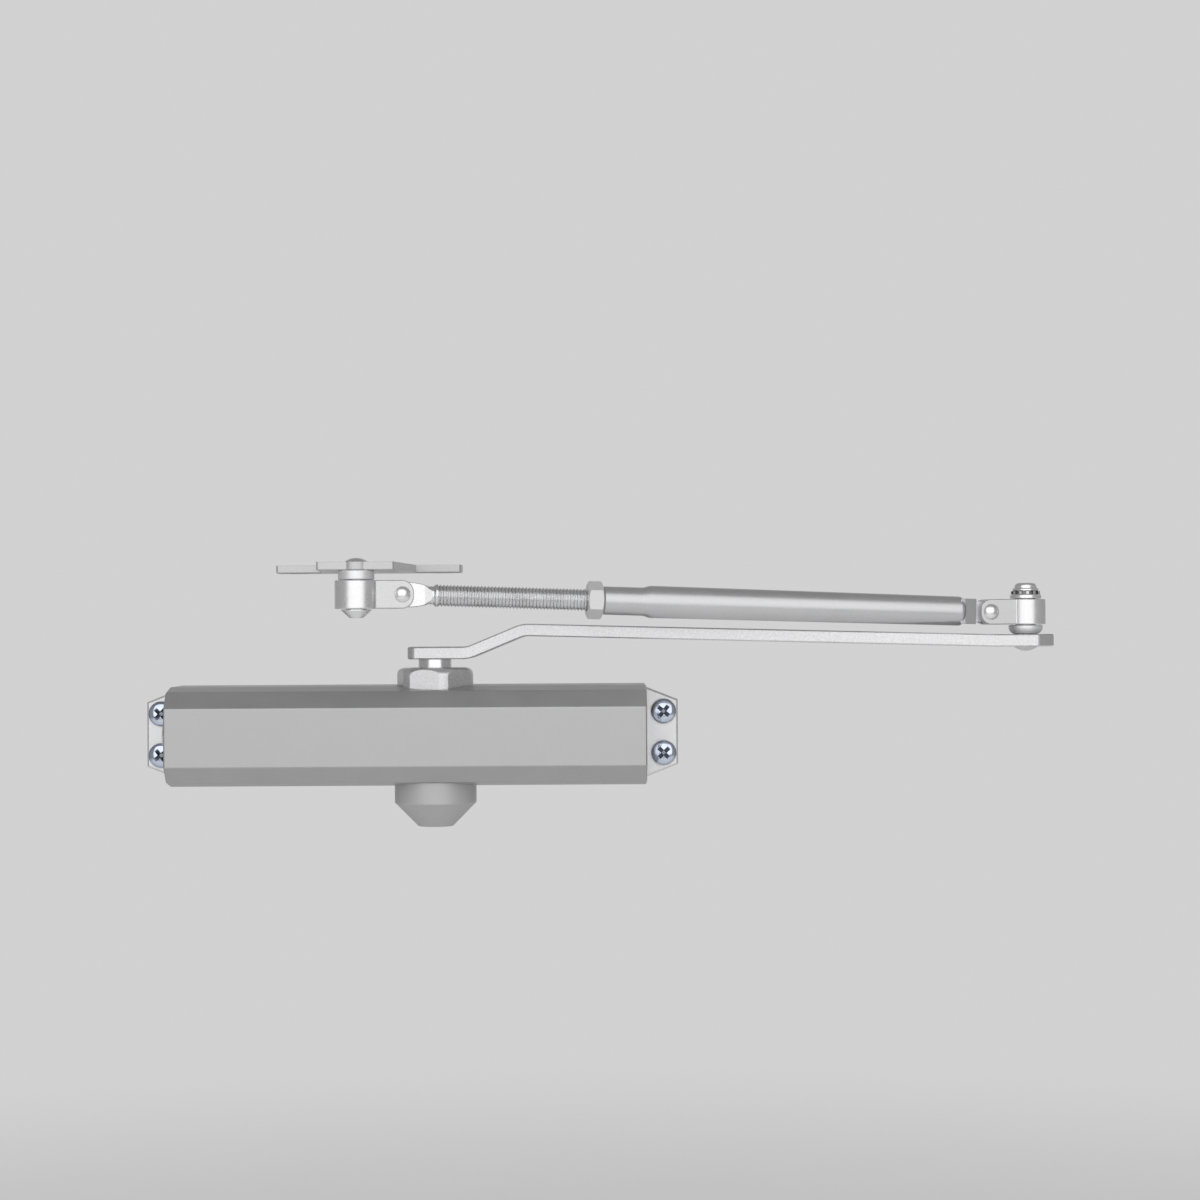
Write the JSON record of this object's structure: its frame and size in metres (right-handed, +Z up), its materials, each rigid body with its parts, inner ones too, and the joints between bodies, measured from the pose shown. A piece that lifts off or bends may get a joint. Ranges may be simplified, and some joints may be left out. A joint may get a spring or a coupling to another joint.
{
  "type": "hydraulic door closer",
  "caption": "Surface hydraulic door closer with a slim eight-sided body, cranked main arm, threaded adjustable forearm and soffit bracket, set for parallel arm fitting.",
  "frame": {"origin": "middle of the four mounting screws, on the door face", "axes": "+X along the door to the right seen from the push side, +Y into the door, +Z up"},
  "size_m": [0.4111, 0.1033, 0.1197],
  "materials": {
    "silver_paint": "satin silver coating on the die-cast body",
    "arm_paint": "silver paint with a fine metallic grain",
    "zinc": "bright zinc plate",
    "chrome": "bright blue-white plate",
    "steel": "ground steel",
    "cap_grey": "satin grey",
    "brass": "turned brass",
    "rubber": "black nitrile rubber",
    "iron": "machined cast iron",
    "bracket_paint": "silver paint"
  },
  "bodies": {
    "shell": {"housing": "silver_paint", "mounting_screws": "chrome", "top_bearing_nut": "arm_paint", "bottom_bearing_nut": "arm_paint", "upper_bearing": "steel", "lower_bearing": "steel", "upper_seal": "rubber", "lower_seal": "rubber", "pinion_cap": "cap_grey", "spring_end_plug": "zinc", "valve_end_plug": "zinc", "spring_end_seal": "rubber", "valve_end_seal": "rubber", "main_spring": "steel"},
    "arm": {"pinion": "steel", "main_arm": "arm_paint", "arm_screw": "zinc", "elbow_stud": "arm_paint", "elbow_spacer": "arm_paint", "elbow_washer": "zinc", "elbow_lock_washer": "zinc", "elbow_screw": "zinc"},
    "piston_group": {"piston": "iron", "check_seat": "brass", "check_ball": "steel"},
    "power": {"power_screw": "zinc"},
    "seat": {"spring_seat": "steel"},
    "elbow": {"elbow_knuckle": "arm_paint", "elbow_pin": "arm_paint"},
    "tube": {"forearm_tube": "arm_paint"},
    "nut": {"lock_nut": "arm_paint"},
    "rod": {"forearm_rod": "zinc"},
    "shoe": {"shoe_knuckle": "arm_paint", "shoe_pin": "arm_paint"},
    "bracket": {"bracket_plate": "bracket_paint", "shoe_stud": "arm_paint", "shoe_spacer": "arm_paint", "shoe_screw": "zinc"},
    "sweep_speed": {"sweep_valve": "brass", "sweep_valve_seal": "rubber"},
    "latch_speed": {"latch_valve": "brass", "latch_valve_seal": "rubber"},
    "backcheck_speed": {"backcheck_valve": "brass", "backcheck_valve_seal": "rubber"}
  },
  "joints": [
    {"name": "main_arm_swing", "type": "hinge", "parent": "shell", "child": "arm", "pos_m": [0.0117, -0.027, 0], "axis": [0, 0, -1], "range_deg": [0, 125]},
    {"name": "piston_slide", "type": "slide", "parent": "shell", "child": "piston_group", "axis": [-1, 0, 0], "range_m": [0, 0.0197], "deforming": ["main_spring"]},
    {"name": "power_screw_turn", "type": "hinge", "parent": "shell", "child": "power", "pos_m": [-0.1, -0.027, 0], "axis": [1, 0, 0], "range_deg": [0, 2165]},
    {"name": "spring_seat_slide", "type": "slide", "parent": "shell", "child": "seat", "axis": [1, 0, 0], "range_m": [0, 0.009], "deforming": ["main_spring"]},
    {"name": "elbow_swing", "type": "hinge", "parent": "arm", "child": "elbow", "pos_m": [0.2772, -0.034, 0.05395], "axis": [0, 0, 1], "range_deg": [-10, 165]},
    {"name": "elbow_tilt", "type": "hinge", "parent": "elbow", "child": "tube", "pos_m": [0.25961, -0.03673, 0.05395], "axis": [-0.1536, 0.9881, 0], "range_deg": [-0.8, 10]},
    {"name": "lock_nut_turn", "type": "hinge", "parent": "tube", "child": "nut", "pos_m": [0.08387, -0.06404, 0.05995], "axis": [0.9876, 0.1535, -0.0337], "range_deg": [-360, 360]},
    {"name": "forearm_length", "type": "slide", "parent": "tube", "child": "rod", "axis": [-0.9876, -0.1535, 0.0337], "range_m": [-0.02, 0.02]},
    {"name": "shoe_tilt", "type": "hinge", "parent": "rod", "child": "shoe", "pos_m": [0.00057, -0.07699, 0.0628], "axis": [-0.1536, 0.9881, 0], "range_deg": [-4, 8]},
    {"name": "shoe_swivel", "type": "hinge", "parent": "shoe", "child": "bracket", "pos_m": [-0.0188, -0.08, 0.06], "axis": [0, 0, -1], "range_deg": [-30, 120]},
    {"name": "sweep_valve_turn", "type": "hinge", "parent": "shell", "child": "sweep_speed", "pos_m": [0.1, -0.0455, 0.012], "axis": [1, 0, 0], "range_deg": [-360, 360]},
    {"name": "latch_valve_turn", "type": "hinge", "parent": "shell", "child": "latch_speed", "pos_m": [0.1, -0.0455, -0.012], "axis": [1, 0, 0], "range_deg": [-360, 360]},
    {"name": "backcheck_valve_turn", "type": "hinge", "parent": "shell", "child": "backcheck_speed", "pos_m": [0.1, -0.0085, 0.012], "axis": [1, 0, 0], "range_deg": [-360, 360]}
  ],
  "couplings": [
    {"joint": "piston_slide", "follows": "main_arm_swing", "m_per_rad": 0.009},
    {"joint": "power_screw_turn", "follows": "spring_seat_slide", "rad_per_m": 4188.8}
  ]
}
